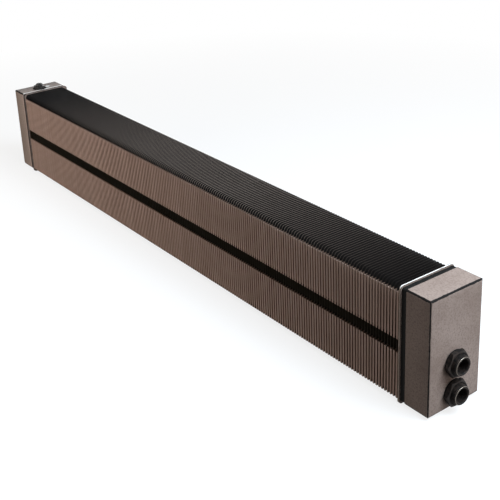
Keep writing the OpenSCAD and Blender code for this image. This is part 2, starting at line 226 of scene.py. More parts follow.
# Colours
PAINT_LIGHT = colour(136, 119, 110)
PAINT_DARK = colour(118, 101, 92)
PAINT_SPECK = colour(88, 73, 66)
# Painted shade on the left cap, on its sides and on its top
LEFT_CAP_SHADE = colour(90, 76, 63)
LEFT_CAP_TOP_SHADE = colour(58, 49, 42)
# Painted shade on the caps' rounded edges
EDGE_SHADE = colour(12, 9, 8)
# Painted highlight along the left cap's inner edge, on its sides
INNER_EDGE_HIGHLIGHT = colour(152, 134, 125)
# Painted highlight where a rim or the left cap's inner edge faces up, on the rims' sides, and painted shade
# beside it
RIM_TOP_HIGHLIGHT = colour(240, 236, 230)
RIM_SIDE_HIGHLIGHT = colour(176, 160, 146)
RIM_SHADE = colour(66, 54, 48)
TAB_LIGHT = colour(186, 159, 146)
TAB_DARK = colour(170, 143, 130)
SHEET_NEAR = colour(150, 124, 108)
# Painted highlight on the fins' upper edges
SHEET_TIP_HIGHLIGHT = colour(106, 94, 86)
# Painted shade on the sheets behind the tabs, a little lighter in the groove
SHEET_SHADE = colour(14, 11, 10)
SHEET_GROOVE_SHADE = colour(44, 37, 25)
RUBBER = colour(10, 9, 8)
RUBBER_DUST = colour(20, 18, 16)
BLACK = colour(16, 14, 13)
BLACK_WORN = colour(42, 34, 30)
BARE_EDGE = colour(124, 114, 104)
BARE_DULL = colour(92, 84, 76)
VENT = colour(34, 32, 31)
VENT_WORN = colour(58, 54, 51)
ZINC = colour(190, 190, 188)
ZINC_DULL = colour(140, 141, 143)
COPPER = colour(178, 108, 78)
COPPER_DULL = colour(96, 62, 48)
STEEL = colour(128, 124, 120)
STEEL_DARK = colour(78, 72, 68)


class Tree:
    """Adds nodes to a material or world and links them."""

    def __init__(self, owner):
        owner.use_nodes = True
        self.tree = owner.node_tree
        self.tree.nodes.clear()

    def add(self, kind, inputs=None, **settings):
        node = self.tree.nodes.new("ShaderNode" + kind)
        for key, value in settings.items():
            setattr(node, key, value)
        for name, value in (inputs or {}).items():
            self.put(node.inputs[name], value)
        return node

    def put(self, socket, value):
        if isinstance(value, bpy.types.NodeSocket):
            self.tree.links.new(value, socket)
        else:
            socket.default_value = value

    def math(self, operation, *values):
        node = self.add("Math", operation=operation)
        for socket, value in zip(node.inputs, values):
            self.put(socket, value)
        return node.outputs[0]

    def most(self, values):
        """The largest of some values."""
        found = values[0]
        for value in values[1:]:
            found = self.math("MAXIMUM", found, value)
        return found

    def ramp(self, value, low, high, start=0.0, end=1.0):
        """Carries a value from the span low to high over to the span start to end, and holds it there."""
        node = self.add("MapRange")
        for socket, number in zip(node.inputs, (value, low, high, start, end)):
            self.put(socket, number)
        return node.outputs[0]

    def mix(self, share, first, second):
        node = self.add("Mix", data_type="RGBA")
        sockets = [socket for socket in node.inputs if socket.enabled]
        for socket, value in zip(sockets, (share, first, second)):
            self.put(socket, value)
        return next(socket for socket in node.outputs if socket.enabled)

    def seen_directly(self):
        """One for rays of the camera and for those of a mirror or glass, otherwise nought."""
        path = self.add("LightPath").outputs
        return self.most([path["Is Camera Ray"], path["Is Glossy Ray"], path["Is Transmission Ray"]])


class Finish(Tree):
    """A material of one principled shader, with the place and the normal on the object at hand."""

    def __init__(self, name, roughness=0.5, metallic=0.0, specular=0.5):
        self.material = bpy.data.materials.new(name)
        super().__init__(self.material)
        self.shader = self.add("BsdfPrincipled")
        output = self.add("OutputMaterial")
        self.put(output.inputs["Surface"], self.shader.outputs[0])
        self.set("Roughness", roughness)
        self.set("Metallic", metallic)
        self.set("Specular IOR Level", specular)
        coordinates = self.add("TexCoord")
        self.spot = coordinates.outputs["Object"]
        self.x, self.y, self.z = self.add("SeparateXYZ", {0: self.spot}).outputs
        self.normal = self.add("SeparateXYZ", {0: coordinates.outputs["Normal"]}).outputs

    def set(self, name, value):
        self.put(self.shader.inputs[name], value)

    def noise(self, scale, detail=2.0, stretch=None):
        """Noise fixed to the object, with scale waves to the metre. A stretch thins it out along an axis."""
        where = self.spot
        if stretch:
            where = self.add("VectorMath", {0: where, 1: stretch}, operation="MULTIPLY").outputs[0]
        return self.add("TexNoise", {"Vector": where, "Scale": scale, "Detail": detail}).outputs[0]

    def spread(self, noise, start, end):
        """Carries a noise over to the span start to end."""
        return self.ramp(noise, *NOISE_SPAN, start, end)

    def upward(self):
        """One where a face looks up, otherwise nought."""
        return self.ramp(self.normal[2], *UPWARD_SPAN)

    def apart(self, first, second):
        """How far apart two values are."""
        return self.math("ABSOLUTE", self.math("SUBTRACT", first, second))

    def bump(self, height, strength, depth):
        node = self.add("Bump", {"Strength": strength, "Distance": depth, "Height": height})
        self.set("Normal", node.outputs[0])


def left_cap_painted_light(look, tone, inner_edge, light_spot):
    """The tone with the left cap's painted light: painted shade outside, darker on the top, a painted
    highlight along the inner edge, and a light spot in the highlight's tones.
    """
    # Painted shade: the left cap is painted darker away from its inner edge, and darker still on its top
    outer = look.ramp(look.x, inner_edge - LEFT_SHADE_START, inner_edge - LEFT_SHADE_END, LEFT_SHADE_SHARE, 0.0)
    tone = look.mix(outer, tone, look.mix(look.upward(), LEFT_CAP_SHADE, LEFT_CAP_TOP_SHADE))
    # Painted highlight along the inner edge with a wandering border, lighter where it faces up
    waves = look.ramp(look.noise(scale=120.0, detail=3.0), low=0.35, high=0.65, start=-1.0)
    ragged = look.math("MULTIPLY", waves, LIGHT_MARK_RAGGED)
    edge_highlight_start = inner_edge - HIGHLIGHT_WIDTH
    at_edge = look.ramp(look.math("ADD", look.x, ragged), edge_highlight_start, edge_highlight_start + LIGHT_MARK_FADE)
    # A light spot on the top beside the vent, in the same tones as the highlight
    from_spot = look.add("VectorMath", {0: look.spot, 1: light_spot}, operation="DISTANCE").outputs["Value"]
    at_spot = look.ramp(look.math("ADD", from_spot, ragged), LIGHT_SPOT_RADIUS, LIGHT_SPOT_RADIUS - LIGHT_MARK_FADE)
    return look.mix(look.most([at_edge, at_spot]), tone, look.mix(look.upward(), INNER_EDGE_HIGHLIGHT, RIM_TOP_HIGHLIGHT))


def make_cap_paint(name, inner_edge=None, light_spot=None):
    """Satin brown paint with a fine grain, clouded a little, and painted shade on the rounded edges, dark as
    their reflection.

    An inner edge is where along X the left cap ends, and a light spot is a point on its top.
    """
    look = Finish(name, specular=PAINT_SPECULAR)
    grain = look.noise(scale=480.0, detail=4.0)
    cloud = look.noise(scale=16.0, detail=4.0)
    tone = look.mix(look.ramp(cloud, low=0.35, high=0.65), PAINT_DARK, PAINT_LIGHT)
    tone = look.mix(look.ramp(grain, low=0.45, high=0.7, end=0.55), tone, PAINT_SPECK)
    facing = [look.math("ABSOLUTE", part) for part in look.normal]
    # Painted shade on the rounded edges, dark as their reflection, over more of the bevel where an edge meets
    # the top
    limit = look.ramp(facing[2], low=0.05, high=0.15, start=0.9, end=0.985)
    ragged = look.spread(look.noise(scale=150.0, detail=3.0), start=-0.05, end=0.012)
    limit = look.math("ADD", limit, ragged)
    edge = look.ramp(look.most(facing), limit, look.math("SUBTRACT", limit, EDGE_FADE))
    if inner_edge is not None:
        tone = left_cap_painted_light(look, tone, inner_edge, light_spot)
    look.set("Base Color", look.mix(edge, tone, EDGE_SHADE))
    rough = look.math("MULTIPLY", edge, EDGE_ROUGHNESS)
    look.set("Roughness", look.math("ADD", look.spread(grain, start=0.42, end=0.54), rough))
    look.bump(look.noise(scale=1400.0), strength=0.25, depth=0.1 * MM)
    return look.material


def make_plate_paint(name, inner_face, edge_top, edge_side):
    """The same paint on the end plates, with painted light along the middle of the rim's cut edge, one tone
    where it faces up and another on its sides, and painted shade beside it.
    """
    look = Finish(name, specular=PAINT_SPECULAR)
    grain = look.noise(scale=700.0, detail=3.0)
    tone = look.mix(look.ramp(grain, low=0.35, high=0.7), PAINT_LIGHT, PAINT_SPECK)
    cut = look.ramp(look.math("ABSOLUTE", look.normal[0]), low=0.7, high=0.3)
    wear_and_highlight = look.ramp(look.noise(scale=90.0, detail=3.0), low=0.3, high=0.6, start=0.5)
    wide = look.spread(look.noise(scale=70.0, detail=4.0), STRIPE_HALF_LEAST, STRIPE_HALF_MOST)
    from_stripe = look.apart(look.x, inner_face + STRIPE_MIDDLE)
    stripe = look.ramp(from_stripe, wide, look.math("SUBTRACT", wide, STRIPE_FADE))
    # Painted highlight: a stripe along the rim's cut edge in lit tones, patchy, with painted shade beside it
    edge = look.mix(stripe, RIM_SHADE, look.mix(look.upward(), edge_side, edge_top))
    look.set("Base Color", look.mix(look.math("MULTIPLY", cut, wear_and_highlight), tone, edge))
    look.set("Roughness", look.spread(grain, start=0.4, end=0.5))
    look.bump(grain, strength=0.2, depth=0.1 * MM)
    return look.material


def tab_tone(look, grain, first_fin, pitch):
    """Paint on the folded tabs, a shade different on each fin."""
    number = look.math("FLOOR", look.math("DIVIDE", look.math("SUBTRACT", look.x, first_fin), pitch))
    own = look.add("TexWhiteNoise", {"W": number}, noise_dimensions="1D").outputs["Value"]
    drift = look.noise(scale=9.0, detail=3.0, stretch=(1.0, 1.0, 0.25))
    own_part = look.math("MULTIPLY", own, OWN_SHARE)
    shade = look.math("ADD", own_part, look.math("MULTIPLY", drift, 1 - OWN_SHARE))
    tone = look.mix(look.ramp(shade, low=0.2, high=0.8), TAB_DARK, TAB_LIGHT)
    return look.mix(look.ramp(grain, low=0.5, high=0.8, end=0.25), tone, PAINT_SPECK)


def upper_edge_highlight(look, depth, top):
    """How much painted highlight lies on a sheet, along its upper edge and down its round corners as far as
    the tabs, with a painted pool of light in the middle of the bank.
    """
    inward = look.math("MAXIMUM", look.math("SUBTRACT", FOLD_RADIUS + FIN_CORNER, depth), 0.0)
    upward = look.math("MAXIMUM", look.math("SUBTRACT", look.z, top - FIN_CORNER), 0.0)
    squares = look.math("ADD", look.math("POWER", inward, 2.0), look.math("POWER", upward, 2.0))
    tip_highlight_start = FIN_CORNER - TIP_LIGHT_WIDTH
    lightening = look.ramp(look.math("SQRT", squares), tip_highlight_start, tip_highlight_start + TIP_LIGHT_FADE)
    # A painted pool of light: the highlight is brightest near the middle of the bank and fades towards both
    # ends
    along = look.ramp(look.apart(look.x, TIP_LIGHT_MIDDLE), TIP_LIGHT_START, TIP_LIGHT_END, 1.0, 0.0)
    lightening = look.math("MULTIPLY", lightening, along)
    return look.math("MULTIPLY", lightening, look.ramp(look.z, top - TAB_MARGIN, top - FIN_CORNER / 2))


def make_fin_paint(first_fin, pitch, front, back, top):
    """Brown paint on the tabs, painted shade on the sheets behind them that deepens inward, and a painted
    highlight along the upper edges.
    """
    look = Finish("fin_paint", specular=PAINT_SPECULAR)
    grain = look.noise(scale=900.0, stretch=(1.0, 1.0, 0.3))
    depth = look.math("MINIMUM", look.math("SUBTRACT", look.y, front), look.math("SUBTRACT", back, look.y))
    from_groove = look.apart(look.z, GROOVE_MIDDLE)
    groove = look.ramp(from_groove, GROOVE_HALF + SHADE_FADE, GROOVE_HALF)
    beside = look.math("SUBTRACT", look.ramp(from_groove, TABS_REACH, TABS_REACH - SHADE_FADE), groove)
    # Painted shade: the sheets darken with depth behind the tabs, a little less in the groove
    unshaded = look.math("MULTIPLY", look.ramp(depth, SHADE_FULL_DEPTH, SHADE_START_DEPTH), beside)
    sheet = look.mix(unshaded, look.mix(groove, SHEET_SHADE, SHEET_GROOVE_SHADE), SHEET_NEAR)
    # Painted highlight along the upper edges of the sheets
    sheet = look.mix(upper_edge_highlight(look, depth, top), sheet, SHEET_TIP_HIGHLIGHT)
    on_tab = look.ramp(depth, 2 * FIN_SHEET, FIN_SHEET)
    look.set("Base Color", look.mix(on_tab, sheet, tab_tone(look, grain, first_fin, pitch)))
    look.set("Roughness", look.spread(grain, start=0.45, end=0.6))
    look.bump(grain, strength=0.2, depth=0.08 * MM)
    return look.material


def make_rubber():
    """Matt black rubber with a little dust."""
    look = Finish("seal_rubber", roughness=0.85, specular=0.1)
    lightening = look.noise(scale=320.0, detail=4.0)
    look.set("Base Color", look.mix(look.ramp(lightening, low=0.45, high=0.75), RUBBER, RUBBER_DUST))
    look.bump(look.noise(scale=2200.0), strength=0.3, depth=0.08 * MM)
    return look.material


def make_metal(name, clean, wear_and_highlight, roughness, metallic, scale=260.0, specular=0.5):
    """A metal or blacked metal with patches of another tone and uneven gloss."""
    look = Finish(name, metallic=metallic, specular=specular)
    patches = look.noise(scale, detail=4.0)
    fine = look.noise(scale * FINE_TIMES)
    look.set("Base Color", look.mix(look.ramp(patches, low=0.4, high=0.7), clean, wear_and_highlight))
    look.set("Roughness", look.spread(fine, roughness - GLOSS_SPREAD, roughness + GLOSS_SPREAD))
    look.bump(fine, strength=0.15, depth=0.06 * MM)
    return look.material


def finished(name, mesh, materials):
    """Turns a bmesh into an object with smooth faces and sharp corners."""
    bmesh.ops.recalc_face_normals(mesh, faces=mesh.faces)
    data = bpy.data.meshes.new(name)
    mesh.to_mesh(data)
    mesh.free()
    for material in materials:
        data.materials.append(material)
    smooth(data)
    piece = bpy.data.objects.new(name, data)
    bpy.context.scene.collection.objects.link(piece)
    return piece


def smooth(data):
    data.shade_smooth()
    data.set_sharp_from_angle(angle=SHARP_ANGLE)


class Turned:
    """Surfaces round one axis, which is Z in their own frame, merged into one closed mesh."""

    def __init__(self, place, columns):
        self.place = place
        self.columns = columns
        self.mesh = bmesh.new()

    def vertex(self, angle, radius, height):
        spot = Vector((radius * math.cos(angle), radius * math.sin(angle), height))
        return self.mesh.verts.new(self.place @ spot)

    def angles(self):
        return [2 * math.pi * i / self.columns for i in range(self.columns)]

    def skin(self, columns, wrap, material):
        """Faces between columns of vertices. The last column meets the first one wrap rows further on."""
        for i, column in enumerate(columns):
            shift = wrap if i == len(columns) - 1 else 0
            beside = columns[(i + 1) % len(columns)]
            for row in range(len(column) - 1 - shift):
                corners = [column[row], column[row + 1], beside[row + 1 + shift], beside[row + shift]]
                self.mesh.faces.new(corners).material_index = material

    def band(self, outline, material=0):
        """A surface through rings, each a radius and a height, or a function of the angle that gives both."""
        columns = []
        for angle in self.angles():
            spots = [ring(angle) if callable(ring) else ring for ring in outline]
            columns.append([self.vertex(angle, radius, height) for radius, height in spots])
        self.skin(columns, 0, material)

    def thread(self, root, depth, pitch, start, end, material=0):
        """A helical thread that rises from its root by its depth and runs out at both ends."""
        turns = math.ceil((end - start) / pitch) + SPARE_TURNS
        columns = []
        for angle in self.angles():
            lead = start + pitch * (angle / (2 * math.pi) - SPARE_TURNS)
            column = []
            for turn in range(turns + 1):
                for phase, height in zip(THREAD_PHASES, THREAD_HEIGHTS):
                    along = min(max(lead + (turn + phase) * pitch, start), end)
                    room = min(along - start, end - along) / depth
                    column.append(self.vertex(angle, root + depth * min(height, room), along))
            columns.append(column)
        self.skin(columns, len(THREAD_PHASES), material)

    def made(self, name, materials):
        bmesh.ops.remove_doubles(self.mesh, verts=self.mesh.verts, dist=MERGE_DISTANCE)
        bmesh.ops.dissolve_degenerate(self.mesh, edges=self.mesh.edges, dist=MERGE_DISTANCE)
        return finished(name, self.mesh, materials)


def carve(piece, other, operation):
    """Joins another object to a piece or cuts it away, and deletes the other."""
    modifier = piece.modifiers.new(operation.lower(), "BOOLEAN")
    modifier.operation = operation
    modifier.object = other
    modifier.solver = "EXACT"
    graph = bpy.context.evaluated_depsgraph_get()
    piece.data = bpy.data.meshes.new_from_object(piece.evaluated_get(graph))
    piece.modifiers.clear()
    bpy.data.objects.remove(other)
    smooth(piece.data)


def stands_for(piece, node, body=FIXED_BODY):
    """The piece moves with a body and takes the place of a CAD node, which it hides."""
    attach(piece, body)
    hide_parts(node)
    return piece


def rounded(edge, radius, height, start, end, steps=4):
    """Rings along part of a round corner, from one angle to another, in degrees."""
    rings = []
    for step in range(steps + 1):
        turn = math.radians(start + (end - start) * step / steps)
        rings.append((radius + edge * math.cos(turn), height + edge * math.sin(turn)))
    return rings


def place_at(origin, axis):
    """A frame at a point, with its Z along an axis."""
    turn = Vector(Z_AXIS).rotation_difference(Vector(axis)).to_matrix().to_4x4()
    return Matrix.Translation(origin) @ turn


def hexagon(flats, angle):
    """Distance from the middle of a hexagon to its side, at an angle from one of its corners."""
    sixth = math.pi / 3
    return flats / 2 / math.cos(angle % sixth - sixth / 2)


def ridged(radius, height, depth, count):
    """A ring with small ridges round it."""
    def ring(angle):
        wave = abs(angle * count / (2 * math.pi) % 1 * 2 - 1)
        return radius - depth * wave, height
    return ring


def pipe_axis(node):
    """The frame of a round node that lies along X, its radius and its length."""
    low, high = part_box(node)
    middle = (low + high) / 2
    return place_at((low.x, middle.y, middle.z), X_AXIS), (high.z - low.z) / 2, high.x - low.x


def make_stub(name, black, bare):
    """Pipe stub with an outer and an inner thread and a bare bevel at its mouth."""
    node = name + "_stub"
    place, radius, length = pipe_axis(node)
    root = radius - PIPE_DEPTH
    start = length - STUB_THREADED
    mouth = length - STUB_BEVEL
    lip = root - STUB_BEVEL / 2
    part = Turned(place, COLUMNS)
    part.band([(STUB_BORE, 0), (radius, 0), (radius, start), (root, start)])
    part.thread(root, PIPE_DEPTH, PIPE_PITCH, start, mouth)
    part.band([(root, mouth), (root, length - STUB_BEVEL / 2)])
    part.band([(root, length - STUB_BEVEL / 2), (lip, length)], 1)
    part.band([(lip, length), (STUB_BORE + STUB_BEVEL, length), (STUB_BORE, mouth)])
    part.thread(STUB_BORE, PIPE_DEPTH, PIPE_PITCH, length - STUB_THREADED - STUB_BEVEL, mouth)
    part.band([(STUB_BORE, 0), (STUB_BORE, length - STUB_THREADED - STUB_BEVEL)])
    stands_for(part.made(node + "_threaded", [black, bare]), node)


def make_locknut(name, black, wear_and_highlight):
    """Hexagon nut with conical chamfers. Two of its sides lie level."""
    node = name + "_locknut"
    place, half_flats, length = pipe_axis(node)
    hole = pipe_axis(name + "_stub")[1] + SEAT_GAP
    face = half_flats * NUT_FACE_SHARE

    def side(angle):
        return hexagon(2 * half_flats, angle + math.pi / 2)

    def outer_shoulder(angle):
        return side(angle), length - (side(angle) - face) * NUT_SLOPE

    def inner_shoulder(angle):
        return side(angle), (side(angle) - face) * NUT_SLOPE

    part = Turned(place, HEXAGON_COLUMNS)
    part.band([(hole, 0), (face, 0), inner_shoulder, outer_shoulder])
    part.band([outer_shoulder, (face, length)], 1)
    part.band([(face, length), (hole + NUT_BEVEL, length), (hole, length - NUT_BEVEL), (hole, 0)])
    stands_for(part.made(node + "_hexagon", [black, wear_and_highlight]), node)


def make_washer(name, rubber):
    """Sealing washer with a round outer edge."""
    node = name + "_washer"
    place, radius, length = pipe_axis(node)
    hole = pipe_axis(name + "_stub")[1] + SEAT_GAP
    edge = length / 2
    part = Turned(place, COLUMNS)
    outer = rounded(edge, radius - edge, edge, -90, 90, steps=8)
    part.band([(hole, 0)] + outer + [(hole, length), (hole, 0)])
    stands_for(part.made(node + "_ring", [rubber]), node)


def outline_round(low, high, corner):
    """Points and outward directions round an upright rectangle with round corners, in Y and Z."""
    found = []
    for turn, (y, z) in enumerate([(high.y, high.z), (low.y, high.z), (low.y, low.z), (high.y, low.z)]):
        middle_y = y - math.copysign(corner, y)
        middle_z = high.z - corner if z == high.z else low.z + corner
        for step in range(CORNER_STEPS + 1):
            angle = math.pi / 2 * (turn + step / CORNER_STEPS)
            out = (math.cos(angle), math.sin(angle))
            found.append((middle_y + corner * out[0], middle_z + corner * out[1], out))
    return found


def make_strip(side, rubber):
    """Rubber strip round an end, with beads along it."""
    node = side + "_seal_strip"
    low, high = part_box(node)
    width = high.x - low.x
    section = [(0.0, -STRIP_THICKNESS)]
    for step in range(STRIP_STEPS + 1):
        share = step / STRIP_STEPS
        rise = abs(math.sin(math.pi * STRIP_BEADS * share))
        section.append((width * share, STRIP_GROOVE * (rise - 1)))
    section.append((width, -STRIP_THICKNESS))
    mesh = bmesh.new()
    rings = []
    for y, z, out in outline_round(low, high, STRIP_CORNER):
        spots = [(low.x + along, y + out[0] * rise, z + out[1] * rise) for along, rise in section]
        rings.append([mesh.verts.new(spot) for spot in spots])
    for i, ring in enumerate(rings):
        beside = rings[(i + 1) % len(rings)]
        for j, corner in enumerate(ring):
            following = (j + 1) % len(ring)
            mesh.faces.new([corner, ring[following], beside[following], beside[j]])
    stands_for(finished(node + "_beaded", mesh, [rubber]), node)


def make_cap_screws(side, zinc):
    """The two screws under a cap: round heads with a hexagon recess, and threaded shanks."""
    node = side + "_cap_screws"
    low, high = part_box(node)
    radius = (high.x - low.x) / 2
    length = high.z - low.z
    shank = radius * SHANK_SHARE
    root = shank - SCREW_DEPTH / 4
    tip = length - 2 * SCREW_PITCH

    def recess(height):
        return lambda angle: (hexagon(RECESS_FLATS, angle), height)

    part = Turned(None, SCREW_COLUMNS)
    for y in (low.y + radius, high.y - radius):
        part.place = place_at(((low.x + high.x) / 2, y, low.z), Z_AXIS)
        part.band([(0, RECESS_DEPTH + RECESS_POINT), recess(RECESS_DEPTH), recess(0)])
        part.band([recess(0)] + rounded(HEAD_EDGE, radius - HEAD_EDGE, HEAD_EDGE, -90, 0))
        part.band([(radius, HEAD_EDGE), (radius, HEAD_HEIGHT), (root, HEAD_HEIGHT)])
        part.thread(root, SCREW_DEPTH, SCREW_PITCH, HEAD_HEIGHT, tip)
        part.band([(root, tip), (root / 2, length - SCREW_PITCH / 2), (0, length)])
    stands_for(part.made(node + "_threaded", [zinc]), node)


def make_wall_fixings(side, zinc):
    """The two threaded inserts in a cap's back: ridged sleeves with a collar."""
    node = side + "_wall_fixings"
    low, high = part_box(node)
    radius = (high.x - low.x) / 2
    length = high.y - low.y
    collar = length - COLLAR_THICKNESS
    mouth = length - 2 * COLLAR_BEVEL
    root = SLEEVE_RADIUS - RIDGE_DEPTH
    part = Turned(None, RIDGE_COLUMNS * SLEEVE_RIDGES)
    for z in (low.z + radius, high.z - radius):
        part.place = place_at(((low.x + high.x) / 2, low.y, z), Y_AXIS)
        part.band([(FIXING_BORE, 0), (root, 0)])
        part.band([
            (root, 0),
            ridged(SLEEVE_RADIUS, RIDGE_DEPTH, RIDGE_DEPTH, SLEEVE_RIDGES),
            ridged(SLEEVE_RADIUS, collar / 2, RIDGE_DEPTH, SLEEVE_RIDGES),
            (root, collar / 2 + RIDGE_DEPTH),
            (root, collar),
        ])
        part.band([(root, collar), (radius, collar), (radius, length - COLLAR_BEVEL)])
        part.band([
            (radius, length - COLLAR_BEVEL),
            (radius - COLLAR_BEVEL, length),
            (FIXING_BORE + 2 * COLLAR_BEVEL, length),
            (FIXING_BORE, mouth),
        ])
        part.thread(FIXING_BORE, FIXING_DEPTH, FIXING_PITCH, 0, mouth)
    stands_for(part.made(node + "_ridged", [zinc]), node)


def vent_axis():
    """Where the vent's upright axis stands."""
    low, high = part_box("vent_socket")
    return (low.x + high.x) / 2, (low.y + high.y) / 2


def make_grommet(rubber):
    """Rubber grommet in the left cap's top, with a round lip on the cap."""
    low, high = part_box("vent_grommet")
    socket_low, socket_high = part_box("vent_socket")
    inner = (socket_high.x - socket_low.x) / 2 + SEAT_GAP
    outer = (high.x - low.x) / 2
    height = high.z - low.z
    lip = (height - CAP_WALL) / 2
    part = Turned(place_at((*vent_axis(), low.z), Z_AXIS), COLUMNS)
    part.band([(inner, 0), (inner + CAP_WALL, 0), (inner + CAP_WALL, CAP_WALL)])
    part.band([(inner + CAP_WALL, CAP_WALL)] + rounded(lip, outer - lip, height - lip, -90, 90, steps=8))
    part.band([(outer - lip, height), (inner + lip, height), (inner, height - lip), (inner, 0)])
    stands_for(part.made("vent_grommet_lipped", [rubber]), "vent_grommet")


def make_gasket(rubber):
    """Flat gasket between socket and vent, its edge a little bulged."""
    low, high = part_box("vent_gasket")
    radius = (high.x - low.x) / 2
    edge = (high.z - low.z) / 2
    hole = SHANK_RADIUS + SEAT_GAP
    part = Turned(place_at((*vent_axis(), low.z), Z_AXIS), COLUMNS)
    part.band([(hole, 0)] + rounded(edge, radius - edge, edge, -90, 90, steps=6))
    part.band([(radius - edge, 2 * edge), (hole, 2 * edge), (hole, 0)])
    stands_for(part.made("vent_gasket_bulged", [rubber]), "vent_gasket")


def make_vent_body(metal):
    """The vent's hexagon, with its threaded shank below and the nozzle's spigot above."""
    low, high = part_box("vent_body")
    flats = high.y - low.y
    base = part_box("vent_gasket")[1].z - low.z
    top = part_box("vent_nozzle")[0].z - RUNNING_GAP - low.z
    height = high.z - low.z
    hole = STEM_RADIUS + SEAT_GAP
    face = flats / 2 * NUT_FACE_SHARE
    root = SHANK_RADIUS - VENT_DEPTH

    def lower_side(angle):
        return hexagon(flats, angle), base

    def upper_side(angle):
        return hexagon(flats, angle), top - (hexagon(flats, angle) - face) * NUT_SLOPE

    part = Turned(place_at((*vent_axis(), low.z), Z_AXIS), HEXAGON_COLUMNS)
    part.band([(hole, 0), (root, 0)])
    part.thread(root, VENT_DEPTH, VENT_PITCH, 0, base)
    part.band([(root, base), lower_side, upper_side, (face, top), (SPIGOT_RADIUS, top)])
    part.band([(SPIGOT_RADIUS, top), (SPIGOT_RADIUS, height), (hole, height), (hole, 0)])
    stands_for(part.made("vent_body_hexagon", [metal]), "vent_body")


def make_nozzle(metal):
    """The ring that swivels on the vent, with its drilled spout."""
    low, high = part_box("vent_nozzle")
    x, y = vent_axis()
    radius = (high.x - low.x) / 2
    height = high.z - low.z
    reach = y - low.y
    hole = SPIGOT_RADIUS + SEAT_GAP
    edge = height * RING_EDGE_SHARE
    ring = Turned(place_at((x, y, low.z), Z_AXIS), HEXAGON_COLUMNS)
    ring.band([(hole, 0)] + rounded(edge, radius - edge, edge, -90, 0))
    ring.band(rounded(edge, radius - edge, height - edge, 0, 90) + [(hole, height), (hole, 0)])
    ring.band([(radius, edge), (radius, height - edge)])
    piece = ring.made("vent_nozzle_ring", [metal])
    middle = (x, y, low.z + height / 2)
    spout = Turned(place_at(middle, FRONT), SPOUT_COLUMNS)
    start = (hole + radius) / 2
    taper = radius + SPOUT_RADIUS
    mouth = reach - SPOUT_MOUTH
    spout.band([(0, start), (SPOUT_RADIUS, start), (SPOUT_RADIUS, taper)])
    spout.band([(SPOUT_RADIUS, taper), (SPOUT_WAIST, taper + SPOUT_TAPER), (SPOUT_WAIST, mouth)])
    spout.band([(SPOUT_WAIST, mouth), (SPOUT_WAIST - SPOUT_MOUTH_STEP, reach), (0, reach)])
    carve(piece, spout.made("spout", [metal]), "UNION")
    drill = Turned(place_at(middle, FRONT), DRILL_COLUMNS)
    drill.band([(0, hole - MM), (SPOUT_BORE, hole - MM), (SPOUT_BORE, reach + MM), (0, reach + MM)])
    carve(piece, drill.made("drill", [metal]), "DIFFERENCE")
    stands_for(piece, "vent_nozzle", NOZZLE_BODY)


def make_bleed_screw(metal):
    """The vent's screw, with a ridged head and a slot for a screwdriver."""
    low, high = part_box("bleed_screw")
    radius = (high.x - low.x) / 2
    length = high.z - low.z
    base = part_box("vent_nozzle")[1].z + RUNNING_GAP - low.z
    bevel = (length - base) / 4
    part = Turned(place_at((*vent_axis(), low.z), Z_AXIS), RIDGE_COLUMNS * HEAD_RIDGES)
    part.band([(0, 0), (STEM_RADIUS - bevel, 0), (STEM_RADIUS, bevel), (STEM_RADIUS, base)])
    part.band([
        (STEM_RADIUS, base), (radius - bevel, base),
        ridged(radius, base + bevel, HEAD_RIDGE_DEPTH, HEAD_RIDGES),
        ridged(radius, length - 2 * bevel, HEAD_RIDGE_DEPTH, HEAD_RIDGES),
        (radius - bevel, length - bevel / 2), (radius - 2 * bevel, length), (0, length),
    ])
    piece = part.made("bleed_screw_ridged", [metal])
    cutter = bmesh.new()
    bmesh.ops.create_cube(cutter, size=1.0)
    scale = Matrix.Diagonal((3 * radius, SLOT_WIDTH, 2 * SLOT_DEPTH, 1.0))
    bmesh.ops.transform(cutter, matrix=Matrix.Translation((*vent_axis(), high.z)) @ scale, verts=cutter.verts)
    carve(piece, finished("slot", cutter, [metal]), "DIFFERENCE")
    stands_for(piece, "bleed_screw", SCREW_BODY)


def make_camera():
    """The camera stands where the photograph was taken. Its yaw is measured from straight at the front."""
    side = Vector((math.cos(CAMERA_YAW), math.sin(CAMERA_YAW), 0))
    level = Vector((-math.sin(CAMERA_YAW), math.cos(CAMERA_YAW), 0))
    forward = level * math.cos(CAMERA_PITCH) - Vector((0, 0, math.sin(CAMERA_PITCH)))
    up = side.cross(forward)
    right = side * math.cos(CAMERA_ROLL) + up * math.sin(CAMERA_ROLL)
    above = up * math.cos(CAMERA_ROLL) - side * math.sin(CAMERA_ROLL)
    turn = Matrix((right, above, -forward)).transposed().to_4x4()
    data = bpy.data.cameras.new("camera")
    data.sensor_width = CAMERA_SENSOR
    data.lens = CAMERA_LENS
    data.shift_y = CAMERA_SHIFT
    camera = bpy.data.objects.new("camera", data)
    camera.matrix_world = Matrix.Translation(CAMERA_PLACE) @ turn
    bpy.context.scene.collection.objects.link(camera)
    bpy.context.scene.camera = camera


def grey(level):
    return (level, level, level, 1.0)


def make_world(ambient):
    """A white surround for the camera and for reflections, and a dim, warm one for everything else."""
    world = bpy.data.worlds.new("surround")
    bpy.context.scene.world = world
    tree = Tree(world)
    sky = tree.add("Background", {"Color": tree.mix(tree.seen_directly(), ambient, grey(1.0))})
    output = tree.add("OutputWorld")
    tree.put(output.inputs["Surface"], sky.outputs[0])


